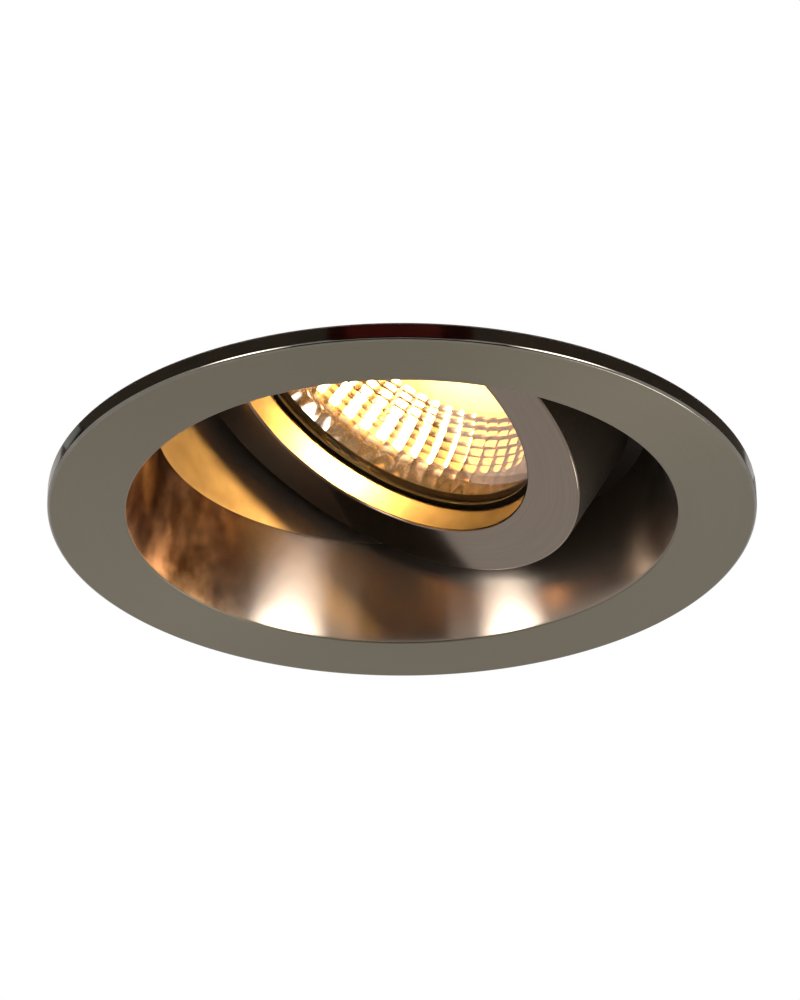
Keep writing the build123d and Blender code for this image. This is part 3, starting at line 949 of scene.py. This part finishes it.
def dress_solids():
    """Gives each solid that keeps its shape the finish of its real material."""
    sheet = galvanised_sheet()
    screw = plated_screw()
    sleeve = black_sleeve()
    pin = nickel_pin()
    ceramic = steatite()
    finishes = {
        "lamp_bezel": black_bezel(),
        "lamp_lens": clear_lens(),
        "led_emitter": warm_phosphor(),
        "led_board": grey_board(),
        "driver_board": green_board(),
        "lamp_housing": grey_housing(),
        "lamp_cap": white_cap(),
        "lamp_pins": pin,
        "lampholder_face": ceramic,
        "lampholder_body": ceramic,
        "lampholder_contacts": brass_contact(),
        "lampholder_screws": screw,
        "pivot_screws": screw,
        "wave_washers": screw,
        "lamp_circlip": screw,
        "friction_washers": natural_nylon(),
        "bracket_rivets": aluminium_rivet(),
    }
    for side in ("left", "right"):
        finishes["clip_bracket_" + side] = sheet
        finishes["clip_arm_" + side] = sheet
        finishes["clip_pin_" + side] = pin
        finishes["clip_pad_" + side] = sleeve
    for node, finish in finishes.items():
        frame["nodes"][node].data.materials.clear()
        frame["nodes"][node].data.materials.append(finish)


# Studio
def toward(azimuth, elevation):
    """Direction from the downlight, with azimuth 0 towards -Y and 90 towards +X."""
    a, e = radians(azimuth), radians(elevation)
    return Vector((sin(a) * cos(e), -cos(a) * cos(e), sin(e)))


def make_camera():
    """Camera at the photograph's viewing angle."""
    back = toward(view_azimuth, view_elevation)
    turn = (-back).to_track_quat("-Z", "Y")
    aim = Vector((0, 0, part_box("trim_ring")[0].z)) + turn @ Vector((view_aim_right, view_aim_up, 0))
    data = bpy.data.cameras.new("photo_view")
    data.lens = view_lens
    data.clip_start = view_near_limit
    camera = bpy.data.objects.new("photo_view", data)
    camera.location = aim + back * view_distance
    camera.rotation_mode = "QUATERNION"
    camera.rotation_quaternion = turn
    bpy.context.scene.collection.objects.link(camera)
    bpy.context.scene.camera = camera


def seen_straight(tree):
    """1 for what the camera, metal and glass see, and 0 for light."""
    ray = add(tree, "ShaderNodeLightPath", {}, {})
    seen = ray.outputs["Is Camera Ray"]
    for kind in ("Is Glossy Ray", "Is Transmission Ray"):
        either = add(tree, "ShaderNodeMath", {"operation": "MAXIMUM"}, {0: seen, 1: ray.outputs[kind]})
        seen = either.outputs[0]
    return seen


def make_world():
    """White surround: full white to the camera, metal and glass, softer as light."""
    world = bpy.data.worlds.new("white_studio")
    world.use_nodes = True
    world.cycles.sampling_method = "NONE"
    tree = world.node_tree
    surround = tree.nodes["Background"]
    surround.inputs["Color"].default_value = (1, 1, 1, 1)
    level = add(tree, "ShaderNodeMapRange", {}, {
        "Value": seen_straight(tree),
        "To Min": surround_light,
        "To Max": 1.0,
    })
    tree.links.new(level.outputs[0], surround.inputs["Strength"])
    bpy.context.scene.world = world


def make_floor():
    """Pale floor, far below."""
    bpy.ops.object.select_all(action="DESELECT")
    bpy.ops.mesh.primitive_plane_add(size=floor_width, location=(0, 0, floor_height))
    floor = settle("floor")
    finish, tree, shader, where = new_finish("pale_floor", Roughness=0.8)
    tint(tree, shader, grain(tree, where, floor_cloud), "#E4E3E0", "#EBEAE7")
    white = add(tree, "ShaderNodeEmission", {}, {"Strength": 1.0})
    mix = add(tree, "ShaderNodeMixShader", {}, {
        0: seen_straight(tree),
        1: shader.outputs[0],
        2: white.outputs[0],
    })
    tree.links.new(mix.outputs[0], tree.nodes["Material Output"].inputs["Surface"])
    finish.cycles.emission_sampling = "NONE"
    floor.data.materials.append(finish)


def bare_finish(name):
    """Material with nothing on its output yet, which isn't searched for as a lamp."""
    finish = bpy.data.materials.new(name)
    finish.use_nodes = True
    finish.cycles.emission_sampling = "NONE"
    tree = finish.node_tree
    tree.nodes.remove(tree.nodes["Principled BSDF"])
    return finish, tree, tree.nodes["Material Output"].inputs["Surface"]


def hide_from(piece, kinds):
    """Hides a piece from kinds of rays."""
    for kind in kinds:
        setattr(piece, "visible_" + kind, False)


def make_ceiling():
    """White ceiling board, seen only from below, with the hole that the collar sits in."""
    bpy.ops.object.select_all(action="DESELECT")
    bpy.ops.mesh.primitive_circle_add(
        vertices=ceiling_sides, radius=ceiling_hole_radius, location=(0, 0, ceiling_gap)
    )
    ceiling = settle("ceiling_board")
    bpy.ops.object.mode_set(mode="EDIT")
    bpy.ops.mesh.extrude_edges_move(TRANSFORM_OT_translate={"value": (0, 0, 0)})
    bpy.ops.transform.resize(value=(ceiling_spread, ceiling_spread, 1), center_override=(0, 0, 0))
    bpy.ops.object.mode_set(mode="OBJECT")
    finish, tree, surface = bare_finish("ceiling_white")
    side = add(tree, "ShaderNodeNewGeometry", {}, {})
    white = add(tree, "ShaderNodeEmission", {}, {"Strength": 1.0})
    clear = add(tree, "ShaderNodeBsdfTransparent", {}, {})
    mix = add(tree, "ShaderNodeMixShader", {}, {
        0: side.outputs["Backfacing"],
        1: white.outputs[0],
        2: clear.outputs[0],
    })
    tree.links.new(mix.outputs[0], surface)
    ceiling.data.materials.append(finish)
    hide_from(ceiling, ("diffuse", "glossy", "shadow", "transmission", "volume_scatter"))


def make_light(name, azimuth, elevation, distance, width, height, power, glossy=True):
    """Softbox that faces the downlight, out of the camera's sight."""
    data = bpy.data.lights.new(name, "AREA")
    data.shape = "RECTANGLE"
    data.size = width
    data.size_y = height
    data.energy = power
    light = bpy.data.objects.new(name, data)
    way = toward(azimuth, elevation)
    light.location = way * distance
    light.rotation_mode = "QUATERNION"
    light.rotation_quaternion = way.to_track_quat("Z", "Y")
    light.visible_camera = False
    light.visible_glossy = glossy
    bpy.context.scene.collection.objects.link(light)


def make_card(name, azimuth, elevation, distance, width, height, colour, level, soft=False):
    """Card that only metal and glass see. A soft one fades out from its middle."""
    way = toward(azimuth, elevation)
    bpy.ops.object.select_all(action="DESELECT")
    bpy.ops.mesh.primitive_plane_add(size=1)
    card = bpy.context.active_object
    card.name = name
    card.scale = (width, height, 1)
    place(card, Matrix.Translation(way * distance) @ way.to_track_quat("Z", "Y").to_matrix().to_4x4())
    finish, tree, surface = bare_finish(name)
    glow = add(tree, "ShaderNodeEmission", {}, {"Color": linear(colour), "Strength": level})
    tree.links.new(glow.outputs[0], surface)
    if soft:
        corner = add(tree, "ShaderNodeTexCoord", {}, {}).outputs["UV"]
        middle = add(tree, "ShaderNodeMapping", {}, {
            "Vector": corner,
            "Location": (-1, -1, 0),
            "Scale": (2, 2, 0),
        })
        fade = add(tree, "ShaderNodeTexGradient", {"gradient_type": "SPHERICAL"}, {0: middle.outputs[0]})
        faded = add(tree, "ShaderNodeMath", {"operation": "MULTIPLY"}, {0: fade.outputs["Fac"], 1: level})
        tree.links.new(faded.outputs[0], glow.inputs["Strength"])
    card.data.materials.append(finish)
    hide_from(card, ("camera", "diffuse", "shadow", "transmission", "volume_scatter"))
    return card


def keep_glow_below(cards):
    """Lets cards shine only on the pieces that show below the ceiling."""
    below = bpy.data.collections.new("below_ceiling")
    for name in ("trim_ring_shell", "tilt_ring_shell", "reflector_bowl"):
        below.objects.link(bpy.data.objects[name])
    for node in ("lamp_lens", "lamp_bezel"):
        below.objects.link(frame["nodes"][node])
    for card in cards:
        card.light_linking.receiver_collection = below


def make_studio():
    """Camera, white surround, floor, ceiling and softboxes, with cards for the room in the mirrors."""
    make_camera()
    make_world()
    make_floor()
    make_ceiling()
    make_light(
        "softbox_right", azimuth=42, elevation=-9, distance=0.9, width=0.28, height=0.3, power=3,
        glossy=False,
    )
    make_light(
        "softbox_left", azimuth=-59, elevation=-9, distance=0.9, width=0.2, height=0.3, power=2,
        glossy=False,
    )
    make_light("softbox_back", azimuth=170, elevation=35, distance=1.0, width=1.2, height=0.9, power=1.8)
    make_light("softbox_front", azimuth=-30, elevation=65, distance=1.0, width=1.2, height=0.9, power=2.2)
    make_light("softbox_face", azimuth=135, elevation=-50, distance=1.2, width=0.3, height=0.3, power=2.2)
    glow_right = make_card(
        "glow_right", azimuth=38, elevation=-13, distance=0.9, width=0.6, height=0.8,
        colour="#FFFFFF", level=26.0, soft=True,
    )
    glow_left = make_card(
        "glow_left", azimuth=-59, elevation=-13, distance=0.9, width=0.5, height=0.8,
        colour="#FFFFFF", level=26.0, soft=True,
    )
    keep_glow_below([glow_right, glow_left])
    make_card(
        "dark_room", azimuth=-12, elevation=15, distance=1.2, width=0.9, height=1.7,
        colour="#6A2A22", level=0.25,
    )
    make_card(
        "dark_floor", azimuth=-10, elevation=-58, distance=1.2, width=2.4, height=0.95,
        colour="#4A423A", level=0.6,
    )
    make_card(
        "red_wall", azimuth=-14, elevation=29, distance=1.1, width=0.5, height=0.3,
        colour="#7F2F2C", level=0.8,
    )
    make_card(
        "dark_ceiling", azimuth=0, elevation=90, distance=0.9, width=6, height=6,
        colour="#5C544C", level=1.0,
    )


cast_finish = gunmetal_skirt()
make_trim_ring(cast_finish)
make_tilt_ring(cast_finish)
make_reflector()
make_clip_springs()
dress_solids()
make_studio()
bpy.context.scene.view_settings.view_transform = "Standard"
